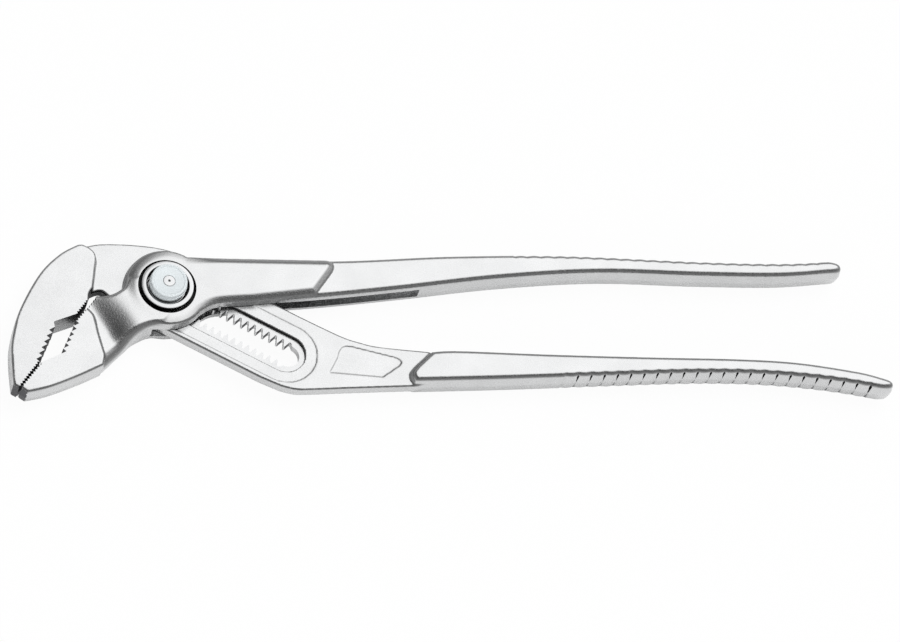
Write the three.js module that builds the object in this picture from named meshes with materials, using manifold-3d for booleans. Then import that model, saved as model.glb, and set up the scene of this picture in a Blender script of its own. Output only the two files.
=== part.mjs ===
// Adjustable slip-joint pliers: two forged arms in a box joint, with a push-button toothed setting.
// Millimetres, +Z up. The tool lies on its back, jaws towards -X, handles towards +X.
// The origin is on the joint's axis, at the rear face that the tool rests on.
import * as THREE from 'three';
import { mergeVertices } from 'three/addons/utils/BufferGeometryUtils.js';
import Module from 'manifold-3d';

const wasm = await Module();
wasm.setup();

const v = (x, y) => new THREE.Vector2(x, y);

// Forged thicknesses and edges
const HANDLE_THICKNESS = 10.8;
const JAW_THICKNESS = 10.4;
const NECK_THICKNESS = 9.2;
const LEG_THICKNESS = 4.6;
const PLATEAU_RISE = 1.2;
const PLATEAU_BEVEL = 1.3;
const DRAFT = 0.6;
const OUTER_JAW_DRAFT = 0.1;
const EDGE_ROUND = 0.7;
const LEG_EDGE = 0.4;

// Handles: where both leave the head, and how far each reaches
const HANDLE_ROOT = 80;
const FORK_REACH = 240;
const SLOTTED_REACH = 257.6;

// Neck of the inner jaw, hollowed across: level beside the jaw, then curving up to the boss
const NECK_STEP = 0.1;
const SADDLE_RADIUS = 16;
const SADDLE_MIDDLE = v(-19.8, -14.6);
const SADDLE_ANGLE = THREE.MathUtils.degToRad(33.4);

// Box joint
const BOX_CLEARANCE = 0.25;
const WALL_CLEARANCE = 0.3;
const BOSS_RADIUS = 14.6;
const BOSS_TOP_ANGLE = THREE.MathUtils.degToRad(62);
const BOSS_BOTTOM_ANGLE = THREE.MathUtils.degToRad(325);
const BOX_END = v(88.6, 13.4);
const BOX_ROOF = v(60, 10.5);
const OPENING_ANGLE = THREE.MathUtils.degToRad(25);

// Setting slot and rack
const SLOT_ANGLE = THREE.MathUtils.degToRad(-24.5);
const SLOT_WIDTH = 13.9;
const SLOT_REACH = 46.2;
const LEDGE_DEPTH = 2.8;
const RACK_PITCH = 2.7;
const RACK_GAP = 5.8;
const RACK_DEPTH = 2.1;
const RACK_CLEARANCE = 0.3;
const RACK_FLAT = 0.5;
const RACK_LAST = 18;
const LEG_UPPER = 15.3;
const LEG_LOWER = 12.8;

// Locking bolt, button and bush
const RUNNING_GAP = 0.3;
const STROKE_MARGIN = 0.4;
const JOURNAL_RADIUS = 6.5;
const JOURNAL_LENGTH = 1.4;
const NECK_RADIUS = 2.4;
const STUB_RADIUS = 2.0;
const PIP_RADIUS = 0.5;
const PIP_DEPTH = 0.8;
const HEAD_CLEARANCE = 0.35;
const HEAD_LENGTH = 4.1;
const BUSH_CLEARANCE = 0.6;
const BUSH_WALL = 1.2;
const COLLAR_WALL = 1.75;
const COLLAR_RISE = 1.6;
const REAR_RISE = 2.2;
const GROOVE_WIDTH = 1.15;
const GROOVE_DEPTH = 1.0;
const SPIGOT_DEPTH = 3.0;
const FLANGE_CLEARANCE = 0.4;
const BUTTON_SHOULDER = 0.6;
const BUTTON_RISE = 3.3;
const BUTTON_DISH = 0.5;
const BUTTON_STEP = 0.7;
const BUTTON_RIM = 0.9;
const BUTTON_ROUND = 0.3;
const COLLAR_ROUND = 0.3;

// Rear bore: spring, cover and ring
const SPRING_BORE = 1.8;
const SPRING_WIRE = 0.5;
const SPRING_TURNS = 3.5;
const COVER_THICKNESS = 0.7;
const RING_THICKNESS = 0.5;
const RING_WIDTH = 1.9;
const RING_SPLIT = 3.0;
const RING_BITE = 0.8;
const RING_SIDE_GAP = 0.15;
const SPRING_ROOF = 0.8;

// Jaws: the line where they meet, and the pocket between them for round work
const JAW_TIP = v(-49.3, -42.3);
const JAW_ROOT = v(-25.8, -6.8);
const POCKET_START = 12.3;
const POCKET_END = 34;
const OUTER_POCKET = v(27.6, 4.3);
const INNER_POCKET = v(19.3, 3.3);
const TIP_THINNING = 1.1;

// Jaw teeth and handle grips
const FINE_PITCH = 1.25;
const FINE_DEPTH = 0.6;
const COARSE_PITCH = 2.3;
const COARSE_DEPTH = 0.9;
const GRIP_PITCH = 4.75;
const GRIP_DEPTH = 0.5;
const GRIP_COUNT = 23;
const GRIP_END = 3.0;
const TIP_GAP = 0.5;
const ROOT_GAP = 1.2;

// Heights measured from the mid-plane of the forgings
const handleHalf = HANDLE_THICKNESS / 2;
const jawHalf = JAW_THICKNESS / 2;
const legHalf = LEG_THICKNESS / 2;
const boxHalf = legHalf + BOX_CLEARANCE;
const plateauHalf = handleHalf + PLATEAU_RISE;
const collarTop = plateauHalf + COLLAR_RISE;
const ledgeZ = legHalf - LEDGE_DEPTH;
const stroke = ledgeZ + legHalf + STROKE_MARGIN;
const rearFace = plateauHalf + REAR_RISE;
const rackHalf = RACK_GAP / 2;
const slotHalf = SLOT_WIDTH / 2;
const neckHalf = NECK_THICKNESS / 2;
const boxReach = BOSS_RADIUS + 2 * LEG_LOWER;

// Radii that follow from the slot: head, bush, collar and button
const headRadius = slotHalf - HEAD_CLEARANCE;
const bushBore = headRadius + BUSH_CLEARANCE;
const bushSpigot = bushBore + BUSH_WALL;
const collarRadius = bushBore + COLLAR_WALL;
const grooveRadius = collarRadius + GROOVE_WIDTH;
const flangeRadius = bushBore - FLANGE_CLEARANCE;
const buttonRadius = flangeRadius - BUTTON_SHOULDER;

// Bolt, button and rear bore levels that follow from the sizes above
const journalTop = -legHalf - STROKE_MARGIN;
const journalBottom = journalTop - JOURNAL_LENGTH;
const headBottom = ledgeZ + stroke + RUNNING_GAP;
const headTop = headBottom + HEAD_LENGTH;
const buttonTop = collarTop + BUTTON_RISE;
const stubTop = buttonTop - BUTTON_DISH;
const springTop = ledgeZ - SPRING_ROOF - RUNNING_GAP;
const coverTop = journalBottom - stroke - RUNNING_GAP;
const ringLow = coverTop - COVER_THICKNESS - RING_SIDE_GAP - RING_THICKNESS;
const rearBore = JOURNAL_RADIUS + RUNNING_GAP;
const ringGroove = rearBore + RING_BITE;
const ringInner = ringGroove - RUNNING_GAP - RING_WIDTH;
const coverBoss = ringInner - RUNNING_GAP;

// Facets and small overlaps used while joining and cutting
const ROUND_SEGMENTS = 40;
const SADDLE_SEGMENTS = 96;
const BOSS_STEPS = 32;
const SLOT_STEPS = 14;
const END_STEPS = 5;
const EDGE_STEPS = 16;
const GRIP_STEPS = 4;
const TURN_STEPS = 12;
const WIRE_SIDES = 6;
const CUT = 1;
const BITE = 0.3;

// Turns a closed three.js geometry into a solid for joining and cutting
function solid(geometry) {
  const bare = geometry.clone();
  bare.deleteAttribute('normal');
  bare.deleteAttribute('uv');
  const merged = mergeVertices(bare, 1e-5);
  return new wasm.Manifold(new wasm.Mesh({
    numProp: 3,
    vertProperties: new Float32Array(merged.attributes.position.array),
    triVerts: new Uint32Array(merged.index.array),
  }));
}

function geometryOf(body) {
  const mesh = body.getMesh();
  const geometry = new THREE.BufferGeometry();
  geometry.setAttribute('position', new THREE.BufferAttribute(mesh.vertProperties, 3));
  geometry.setIndex(new THREE.BufferAttribute(mesh.triVerts, 1));
  geometry.computeVertexNormals();
  return geometry;
}

// Removes repeated points and makes an outline run counter-clockwise
function tidyOutline(points) {
  const kept = points.filter((p, i) => p.distanceTo(points[(i + 1) % points.length]) > 1e-3);
  return THREE.ShapeUtils.isClockWise(kept) ? kept.reverse() : kept;
}

// Outward mitre of each corner of an outline
function mitres(outline) {
  const count = outline.length;
  const side = (i) => {
    const along = outline[(i + 1) % count].clone().sub(outline[i]).normalize();
    return v(along.y, -along.x);
  };
  return outline.map((_, i) => {
    const before = side((i + count - 1) % count);
    const after = side(i);
    return before.clone().add(after).divideScalar(Math.max(1 + before.dot(after), 0.5));
  });
}

// Stacks an outline at several heights, each drawn in by its own inset, and caps both ends
function loft(points, levels) {
  const outline = tidyOutline(points);
  const count = outline.length;
  const out = mitres(outline);
  const rings = levels.map(([, inset]) => outline.map((p, i) => p.clone().addScaledVector(out[i], -inset)));
  const position = levels.flatMap(([z], k) => rings[k].flatMap((p) => [p.x, p.y, z]));
  const index = [];
  for (let k = 0; k + 1 < levels.length; k += 1) {
    for (let i = 0; i < count; i += 1) {
      const a = k * count + i;
      const b = k * count + (i + 1) % count;
      index.push(a, b, b + count, a, b + count, a + count);
    }
  }
  const top = (levels.length - 1) * count;
  for (const [a, b, c] of THREE.ShapeUtils.triangulateShape(rings[0], [])) index.push(a, c, b);
  for (const [a, b, c] of THREE.ShapeUtils.triangulateShape(rings.at(-1), [])) {
    index.push(top + a, top + b, top + c);
  }
  const geometry = new THREE.BufferGeometry();
  geometry.setAttribute('position', new THREE.Float32BufferAttribute(position, 3));
  geometry.setIndex(index);
  return solid(geometry);
}

// Levels that are the same in front of and behind the mid-plane
function bothFaces(front) {
  const rear = front.map(([z, inset]) => [-z, inset]).reverse();
  return [...rear, [0, 0], ...front];
}

// A drop forging: widest at its mid-plane, drafted to both faces, with rounded edges
function forging(points, half, edge = EDGE_ROUND, draft = DRAFT) {
  const step = edge * (1 - Math.SQRT1_2);
  return loft(points, bothFaces([[half - edge, draft], [half - step, draft + step], [half, draft + edge]]));
}

// A straight prism of an outline between two heights
function prism(points, low, high) {
  return loft(points, [[low, 0], [high, 0]]);
}

// A body turned about the joint's axis from a half profile of [radius, z] points
function turned(profile) {
  const geometry = new THREE.LatheGeometry(profile.map(([r, z]) => v(r, z)), ROUND_SEGMENTS);
  geometry.rotateX(Math.PI / 2);
  return solid(geometry);
}

function disc(radius, low, high) {
  return turned([[0, low], [radius, low], [radius, high], [0, high]]);
}

// A ring turned from a closed half profile
function turnedRing(profile) {
  return turned([...profile, profile[0]]);
}

function spline(points, steps) {
  return new THREE.SplineCurve(points).getPoints(steps);
}

function roundedEnd(from, corner, to) {
  return new THREE.QuadraticBezierCurve(from, corner, to).getPoints(END_STEPS);
}

function arc(radius, from, to, steps) {
  return Array.from({ length: steps + 1 }, (_, i) => {
    const angle = from + (to - from) * i / steps;
    return v(radius * Math.cos(angle), radius * Math.sin(angle));
  });
}

// A row of V-shaped valleys along a line, to be cut into the body on the line's left side
function sawCut(from, to, pitch, depth) {
  const along = to.clone().sub(from);
  const count = Math.max(1, Math.round(along.length() / pitch));
  const left = v(-along.y, along.x).normalize();
  const points = [];
  for (let i = 0; i < count; i += 1) {
    points.push(from.clone().lerp(to, i / count));
    points.push(from.clone().lerp(to, (i + 0.5) / count).addScaledVector(left, depth));
  }
  const clear = left.clone().multiplyScalar(-depth);
  points.push(to.clone(), to.clone().add(clear), from.clone().add(clear));
  return prism(points, -jawHalf - CUT, jawHalf + CUT);
}

// Places in the setting slot's own directions: along it from the joint's axis, and across it
const slotAlong = v(Math.cos(SLOT_ANGLE), Math.sin(SLOT_ANGLE));
const slotAcross = v(-slotAlong.y, slotAlong.x);
function slotPoint(along, across) {
  return v(0, 0).addScaledVector(slotAlong, along).addScaledVector(slotAcross, across);
}

// Places on the line where the jaws meet: along it from the tip, and off it towards the outer jaw
const jawLength = JAW_TIP.distanceTo(JAW_ROOT);
const jawAlong = JAW_ROOT.clone().sub(JAW_TIP).normalize();
const jawOff = v(-jawAlong.y, jawAlong.x);
function jawPoint(along, off) {
  return JAW_TIP.clone().addScaledVector(jawAlong, along).addScaledVector(jawOff, off);
}

// Half the space that the closed jaws leave between their teeth
function jawGap(along) {
  return THREE.MathUtils.lerp(TIP_GAP, ROOT_GAP, along / jawLength) / 2;
}

// The gripping edge of one jaw from tip to root; side is 1 for the outer jaw and -1 for the inner jaw
function jawEdge(side, deepest, depth) {
  const flat = (along) => jawPoint(along, side * jawGap(along));
  return {
    tip: flat(0),
    pocketStart: flat(POCKET_START),
    pocketDeep: jawPoint(deepest, side * depth),
    pocketEnd: flat(POCKET_END),
    root: flat(jawLength),
  };
}

// One jaw, thinned towards its tip in front and behind
function jawForging(points, draft) {
  const reach = Math.hypot(POCKET_END, TIP_THINNING) + POCKET_END;
  const hinge = jawPoint(POCKET_END, 0);
  let jaw = forging(points, jawHalf, EDGE_ROUND, draft);
  for (const face of [1, -1]) {
    const wedge = new THREE.BoxGeometry(reach, 2 * reach, jawHalf);
    wedge.translate(-reach / 2, 0, face * jawHalf / 2);
    wedge.rotateY(-face * Math.atan2(TIP_THINNING, POCKET_END));
    wedge.rotateZ(jawAlong.angle());
    wedge.translate(hinge.x, hinge.y, face * jawHalf);
    jaw = jaw.subtract(solid(wedge));
  }
  return jaw;
}

// Fine teeth near tip and root, and coarse teeth on the pocket's long flank
function toothCuts(edge, side) {
  const flank = side > 0 ? [edge.pocketStart, edge.pocketDeep] : [edge.pocketDeep, edge.pocketEnd];
  const rows = [
    [edge.tip, edge.pocketStart, FINE_PITCH, FINE_DEPTH],
    [...flank, COARSE_PITCH, COARSE_DEPTH],
    [edge.pocketEnd, edge.root, FINE_PITCH, FINE_DEPTH],
  ];
  return rows.map(([from, to, pitch, depth]) => (
    side > 0 ? sawCut(from, to, pitch, depth) : sawCut(to, from, pitch, depth)));
}

// A handle's outer edge from root to end, scalloped over the grip; inward points into the handle
function grippedEdge(points, inwardSign) {
  const curve = new THREE.SplineCurve(points);
  const length = curve.getLength();
  const gripLength = GRIP_COUNT * GRIP_PITCH;
  const gripStart = length - gripLength - GRIP_END;
  const plain = Array.from({ length: EDGE_STEPS }, (_, i) => (
    curve.getPointAt(i / EDGE_STEPS * gripStart / length)));
  const samples = GRIP_COUNT * GRIP_STEPS;
  const grip = Array.from({ length: samples + 1 }, (_, i) => {
    const place = (gripStart + gripLength * i / samples) / length;
    const tangent = curve.getTangentAt(place);
    const dip = GRIP_DEPTH * (1 - Math.abs(Math.sin(Math.PI * i / GRIP_STEPS)));
    const inward = v(-tangent.y, tangent.x).multiplyScalar(inwardSign * dip);
    return curve.getPointAt(place).add(inward);
  });
  return [...plain, ...grip, curve.getPointAt(1)];
}

// Teeth of the setting rack on one side of the slot, from one pitch number to another
function rackTeeth(first, last, tip, side) {
  const points = [];
  for (let k = first; k <= last; k += 1) {
    const valley = k * RACK_PITCH;
    points.push(slotPoint(valley - RACK_PITCH / 2, side * tip));
    points.push(slotPoint(valley - RACK_FLAT / 2, side * (tip + RACK_DEPTH)));
    points.push(slotPoint(valley + RACK_FLAT / 2, side * (tip + RACK_DEPTH)));
  }
  points.push(slotPoint((last + 0.5) * RACK_PITCH, side * tip));
  return points;
}

function rackOutline(first, last, tip) {
  return [...rackTeeth(first, last, tip, 1), ...rackTeeth(first, last, tip, -1).reverse()];
}

// A point on a handle, at a share of the way from its root to its end
function onHandle(reach, share, y) {
  return v(THREE.MathUtils.lerp(HANDLE_ROOT, reach, share), y);
}

// The room above the hollow across the neck; face is 1 in front and -1 behind
function saddleCut(face) {
  const reach = 3 * BOSS_RADIUS;
  const roller = new THREE.CylinderGeometry(SADDLE_RADIUS, SADDLE_RADIUS, reach, SADDLE_SEGMENTS);
  const beside = new THREE.BoxGeometry(reach, reach, 2 * SADDLE_RADIUS);
  beside.translate(-reach / 2, 0, 0);
  const cuts = [roller, beside].map((cut) => {
    cut.rotateZ(SADDLE_ANGLE);
    cut.translate(SADDLE_MIDDLE.x, SADDLE_MIDDLE.y, face * (neckHalf + SADDLE_RADIUS));
    return solid(cut);
  });
  return cuts[0].add(cuts[1]);
}

// The round-ended front part of the setting slot
function slotOutline() {
  const end = slotPoint(SLOT_REACH, 0);
  const left = arc(slotHalf, SLOT_ANGLE + Math.PI / 2, SLOT_ANGLE + 1.5 * Math.PI, SLOT_STEPS);
  const right = arc(slotHalf, SLOT_ANGLE - Math.PI / 2, SLOT_ANGLE + Math.PI / 2, SLOT_STEPS);
  return [...left, ...right.map((p) => p.add(end))];
}

// Where two lines meet, each given by its distance from the joint's axis and the direction of that distance
function meet(distance, angleA, angleB) {
  const middle = (angleA + angleB) / 2;
  const reach = distance / Math.cos((angleB - angleA) / 2);
  return v(reach * Math.cos(middle), reach * Math.sin(middle));
}

// The box between the cheeks: the room that the leg sweeps from closed to open, and its run-out to the handle
function boxOutline() {
  const closed = SLOT_ANGLE - Math.PI / 2;
  const lower = LEG_LOWER + WALL_CLEARANCE;
  const upper = LEG_UPPER + WALL_CLEARANCE;
  const openDown = v(Math.sin(closed - OPENING_ANGLE), -Math.cos(closed - OPENING_ANGLE));
  const wallCorner = meet(lower, closed, closed - OPENING_ANGLE);
  const roofCorner = meet(upper, closed + Math.PI, closed + Math.PI - OPENING_ANGLE);
  return [
    slotPoint(-boxReach, boxReach),
    slotPoint(-boxReach, -lower),
    wallCorner,
    wallCorner.clone().addScaledVector(openDown, -boxReach),
    v(BOX_END.x, -boxReach),
    BOX_END,
    BOX_ROOF,
    roofCorner,
    v(roofCorner.x, boxReach),
  ];
}

// Fork arm: inner jaw, hollow neck, box of two cheeks and upper handle
function forkArm() {
  const edge = jawEdge(-1, INNER_POCKET.x, INNER_POCKET.y);
  const jaw = [edge.tip, edge.pocketStart, edge.pocketDeep, edge.pocketEnd, edge.root,
    ...spline([v(-24.3, -11), v(-22.6, -19.5), v(-19.9, -27)], 6),
    ...spline([v(-20.4, -31.2), v(-28.7, -36.2), v(-38.8, -41.4), v(-46.6, -44.1)], 10)];
  const neck = [v(-24.4, -5.6), v(-20.1, -5.0), v(-16.6, -2.6), v(-14, 3), v(-4, 5), v(4, -8),
    ...spline([v(0, -14.3), v(-5.4, -15.7), v(-10.4, -19.4), v(-13.8, -23.6), v(-20.4, -31.2)], 12),
    v(-27, -30), v(-29, -15)];
  const boss = arc(BOSS_RADIUS, BOSS_TOP_ANGLE, BOSS_BOTTOM_ANGLE, BOSS_STEPS);
  const plateau = [...boss, ...spline([v(14.6, -6.2), v(18.5, -4.4), v(30, -2.4)], 5),
    v(52.2, 2.4), ...roundedEnd(v(57.4, 10.8), v(60.2, 15.6), v(55.6, 16.8)), v(32.2, 14.9)];
  const upper = (share, y) => onHandle(FORK_REACH, share, y);
  const handle = [
    ...grippedEdge([v(8, 13), v(57, 17.1), upper(0.118, 23.2), upper(0.375, 27.6), upper(0.674, 30.2),
      upper(0.853, 32.4), upper(0.969, 35)], -1),
    ...roundedEnd(upper(0.984, 34.6), upper(1, 33), upper(0.985, 30.4)),
    ...spline([upper(0.969, 29.6), upper(0.853, 26.4), upper(0.674, 23.9), upper(0.45, 21.4),
      upper(0.228, 15.6), upper(0.008, 7.8), v(51.6, 1.6), v(14, -5)], 28),
  ];
  const bevelFoot = plateauHalf - PLATEAU_BEVEL;
  const cheeks = loft(plateau, bothFaces([[bevelFoot, DRAFT], [plateauHalf, DRAFT + PLATEAU_BEVEL]]));
  const hollowNeck = forging(neck, plateauHalf - NECK_STEP).subtract(saddleCut(1)).subtract(saddleCut(-1));
  let arm = forging(handle, handleHalf)
    .add(cheeks)
    .add(hollowNeck)
    .add(jawForging(jaw, DRAFT))
    .add(disc(collarRadius, -rearFace, 0));
  const cuts = [
    ...toothCuts(edge, -1),
    prism(boxOutline(), -boxHalf, boxHalf),
    disc(bushBore, 0, collarTop),
    disc(bushSpigot + RUNNING_GAP, plateauHalf - SPIGOT_DEPTH, collarTop),
    disc(grooveRadius, plateauHalf - GROOVE_DEPTH, collarTop),
    disc(rearBore, -rearFace - CUT, 0),
    disc(ringGroove, ringLow - RING_SIDE_GAP, ringLow + RING_THICKNESS + RING_SIDE_GAP),
  ];
  for (const cut of cuts) arm = arm.subtract(cut);
  return arm;
}

// Slotted arm: outer jaw, thin leg with the setting slot and its rack, and lower handle
function slottedArm() {
  const edge = jawEdge(1, OUTER_POCKET.x, OUTER_POCKET.y);
  const jaw = [edge.tip, edge.pocketStart, edge.pocketDeep, edge.pocketEnd, edge.root,
    v(-25.1, -2.6), v(-24.4, 8.9),
    ...roundedEnd(v(-24.6, 10.5), v(-25.4, 13), v(-29.5, 14.2)),
    ...spline([v(-31, 13.9), v(-37.2, 9.5), v(-43.9, 1.2), v(-50.1, -12.6), v(-52.4, -23.1), v(-52.5, -31),
      v(-51.4, -41.3)], 18)];
  const leg = [
    ...spline([v(-31, 13.5), v(-22.9, 16.3), v(-9, 17.2), v(1.5, 16.2), slotPoint(3, LEG_UPPER)], 10),
    ...spline([slotPoint(44, LEG_UPPER), v(61, -10.5), v(68, -12.4), v(75, -13.4), v(92, -13.6)], 10),
    v(100, -16), v(100, -23),
    ...spline([v(88, -27.3), v(64.6, -30.4), v(50.8, -32.3), v(45.6, -32.7), v(40.6, -31.9)], 10),
    slotPoint(42.5, -LEG_LOWER), slotPoint(-14.5, -LEG_LOWER),
    ...spline([v(-19.8, -3.4), v(-22.4, -1.7), v(-25.6, -3)], 6),
    v(-31, -4),
  ];
  const lower = (share, y) => onHandle(SLOTTED_REACH, share, y);
  const handle = [
    ...grippedEdge([v(87, -27), lower(0.205, -23.4), lower(0.403, -18.7), lower(0.603, -14.1),
      lower(0.743, -12.2), lower(0.864, -12.2), lower(0.974, -13.6)], 1),
    ...roundedEnd(lower(0.984, -13.3), lower(1, -11.8), lower(0.985, -9.3)),
    ...spline([lower(0.976, -8.7), lower(0.925, -7.1), lower(0.804, -5.7), lower(0.683, -6.4),
      lower(0.503, -8.8), lower(0.304, -11.2), lower(0.126, -13), v(92.4, -14.4)], 26),
    v(87.2, -20.2), v(85.4, -23), v(85.6, -25.2),
  ];
  let arm = forging(handle, handleHalf)
    .add(forging(leg, legHalf, LEG_EDGE, 0))
    .add(jawForging(jaw, OUTER_JAW_DRAFT));
  const cuts = [
    ...toothCuts(edge, 1),
    prism(slotOutline(), ledgeZ, legHalf + CUT),
    prism(rackOutline(-2, RACK_LAST, rackHalf), -legHalf - CUT, ledgeZ + CUT),
  ];
  for (const cut of cuts) arm = arm.subtract(cut);
  return arm;
}

// Locking bolt: rear journal, toothed key, narrow neck and the front stub that carries head and button
function lockingBolt() {
  const key = prism(rackOutline(-2, 2, rackHalf - RACK_CLEARANCE), journalTop - BITE, ledgeZ)
    .intersect(disc(JOURNAL_RADIUS, journalTop - BITE, ledgeZ));
  return disc(JOURNAL_RADIUS, journalBottom, journalTop)
    .add(key)
    .add(disc(NECK_RADIUS, ledgeZ - BITE, headBottom - RUNNING_GAP))
    .add(disc(STUB_RADIUS, ledgeZ - BITE, stubTop))
    .subtract(disc(SPRING_BORE, journalBottom - CUT, springTop + RUNNING_GAP))
    .subtract(disc(PIP_RADIUS, stubTop - PIP_DEPTH, stubTop + CUT));
}

function guideHead() {
  const bore = STUB_RADIUS + RUNNING_GAP;
  return turnedRing([[bore, headBottom], [headRadius, headBottom], [headRadius, headTop], [bore, headTop]]);
}

function pushButton() {
  const bore = STUB_RADIUS + RUNNING_GAP;
  const low = headTop + RUNNING_GAP;
  const shoulder = collarTop + BUTTON_STEP;
  const dish = buttonTop - BUTTON_DISH;
  const rim = buttonRadius - BUTTON_RIM;
  return turnedRing([[bore, low], [flangeRadius, low], [flangeRadius, shoulder - BUTTON_ROUND],
    [flangeRadius - BUTTON_ROUND, shoulder], [buttonRadius, shoulder],
    [buttonRadius, buttonTop - BUTTON_ROUND], [buttonRadius - BUTTON_ROUND, buttonTop],
    [rim, buttonTop], [rim - BUTTON_DISH, dish], [bore, dish]]);
}

function frontBush() {
  const foot = plateauHalf - SPIGOT_DEPTH + RUNNING_GAP;
  const flange = plateauHalf - GROOVE_DEPTH + RUNNING_GAP;
  return turnedRing([[bushBore, foot], [bushSpigot, foot], [bushSpigot, flange], [collarRadius, flange],
    [collarRadius, collarTop - COLLAR_ROUND], [collarRadius - COLLAR_ROUND, collarTop],
    [bushBore + COLLAR_ROUND, collarTop], [bushBore, collarTop - COLLAR_ROUND]]);
}

function coverDisc() {
  const rim = coverTop - COVER_THICKNESS;
  return turned([[0, -rearFace], [coverBoss, -rearFace], [coverBoss, rim], [rearBore - RUNNING_GAP, rim],
    [rearBore - RUNNING_GAP, coverTop], [0, coverTop]]);
}

function retainingRing() {
  const outer = ringGroove - RUNNING_GAP;
  const high = ringLow + RING_THICKNESS;
  const split = RING_SPLIT / 2;
  const ring = turnedRing([[ringInner, ringLow], [outer, ringLow], [outer, high], [ringInner, high]]);
  return ring.subtract(prism([v(0, -split), v(outer + CUT, -split), v(outer + CUT, split), v(0, split)],
    ringLow - CUT, high + CUT));
}

// Return spring: one wound wire between the bolt and the cover
function returnSpring() {
  const radius = SPRING_BORE - RUNNING_GAP - SPRING_WIRE / 2;
  const low = coverTop + RUNNING_GAP + SPRING_WIRE / 2;
  const high = springTop - SPRING_WIRE / 2;
  const steps = SPRING_TURNS * TURN_STEPS;
  const rings = Array.from({ length: steps + 1 }, (_, i) => {
    const angle = 2 * Math.PI * i / TURN_STEPS;
    const z = low + (high - low) * i / steps;
    return Array.from({ length: WIRE_SIDES }, (_unused, k) => {
      const turn = 2 * Math.PI * k / WIRE_SIDES;
      const reach = radius + SPRING_WIRE / 2 * Math.cos(turn);
      return [reach * Math.cos(angle), reach * Math.sin(angle), z + SPRING_WIRE / 2 * Math.sin(turn)];
    });
  });
  const index = [];
  for (let i = 0; i < steps; i += 1) {
    for (let k = 0; k < WIRE_SIDES; k += 1) {
      const a = i * WIRE_SIDES + k;
      const b = i * WIRE_SIDES + (k + 1) % WIRE_SIDES;
      index.push(a, a + WIRE_SIDES, b + WIRE_SIDES, a, b + WIRE_SIDES, b);
    }
  }
  const last = steps * WIRE_SIDES;
  for (let k = 1; k + 1 < WIRE_SIDES; k += 1) index.push(0, k, k + 1, last, last + k + 1, last + k);
  const geometry = new THREE.BufferGeometry();
  geometry.setAttribute('position', new THREE.Float32BufferAttribute(rings.flat(2), 3));
  geometry.setIndex(index);
  console.log(`spring gap between turns ${((high - low) / SPRING_TURNS - SPRING_WIRE).toFixed(2)} mm`);
  return solid(geometry);
}

const SATIN_STEEL = { color: 0xc9cccd, roughness: 0.35, metalness: 1 };
const BRIGHT_STEEL = { color: 0xe2e4e6, roughness: 0.18, metalness: 1 };
const BUTTON_PLASTIC = { color: 0xdde6e9, roughness: 0.3, metalness: 0 };
const SPRING_STEEL = { color: 0x8f9499, roughness: 0.4, metalness: 1 };

const pliers = new THREE.Group();
const assembly = new THREE.Group();
assembly.position.z = rearFace;
pliers.add(assembly);

const pieces = {
  fork_arm: [forkArm, SATIN_STEEL],
  slotted_arm: [slottedArm, SATIN_STEEL],
  locking_bolt: [lockingBolt, BRIGHT_STEEL],
  guide_head: [guideHead, BRIGHT_STEEL],
  push_button: [pushButton, BUTTON_PLASTIC],
  front_bush: [frontBush, BRIGHT_STEEL],
  return_spring: [returnSpring, SPRING_STEEL],
  cover_disc: [coverDisc, BRIGHT_STEEL],
  retaining_ring: [retainingRing, SPRING_STEEL],
};
for (const [name, [make, finish]] of Object.entries(pieces)) {
  const mesh = new THREE.Mesh(geometryOf(make()), new THREE.MeshStandardMaterial(finish));
  mesh.name = name;
  assembly.add(mesh);
}

export default pliers;
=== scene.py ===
# Adjustable slip-joint pliers in satin chrome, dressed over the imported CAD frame.
# Sizes are in millimetres about the forgings' mid-plane, and become metres when a mesh is made.
import math
from collections import namedtuple

import bmesh
import bpy
import numpy as np
from mathutils import Matrix, Vector


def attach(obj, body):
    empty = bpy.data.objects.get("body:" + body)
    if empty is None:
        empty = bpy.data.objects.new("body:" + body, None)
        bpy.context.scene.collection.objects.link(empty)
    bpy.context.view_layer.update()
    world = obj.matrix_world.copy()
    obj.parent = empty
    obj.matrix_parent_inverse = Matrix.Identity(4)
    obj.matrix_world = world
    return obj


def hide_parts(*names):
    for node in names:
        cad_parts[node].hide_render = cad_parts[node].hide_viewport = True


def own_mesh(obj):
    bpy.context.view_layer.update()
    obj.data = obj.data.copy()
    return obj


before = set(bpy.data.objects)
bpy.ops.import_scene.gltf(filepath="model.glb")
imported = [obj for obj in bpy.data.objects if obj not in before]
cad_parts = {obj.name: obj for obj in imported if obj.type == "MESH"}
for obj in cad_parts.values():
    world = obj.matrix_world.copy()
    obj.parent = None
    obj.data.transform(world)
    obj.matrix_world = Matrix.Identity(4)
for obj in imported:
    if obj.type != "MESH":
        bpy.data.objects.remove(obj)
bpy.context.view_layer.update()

MM = 0.001
MID_PLANE = 8.8

# Forged thicknesses and edges
HANDLE_HALF = 5.4
JAW_HALF = 5.2
LEG_HALF = 2.3
PLATEAU_HALF = 6.6
BEVEL_WIDTH, BEVEL_DEPTH = 1.9, 1.0
BOSS_BEVEL_WIDTH, BOSS_BEVEL_DEPTH = 2.3, 0.5
BEVEL_FROM, BEVEL_TO = 6, 20
BEVEL_ROUND, FACE_ROUND = 0.4, 0.3
DRAFT = 0.6
OUTER_JAW_DRAFT = 0.1
EDGE_ROUND = 1.3
END_ROUND, END_RUN = 1.7, 4.0
JAW_EDGE = 0.6
LEG_EDGE = 0.65
NECK_BLEND, INNER_JAW_BLEND, LEG_BLEND = 0.6, 0.15, 0.5

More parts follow.
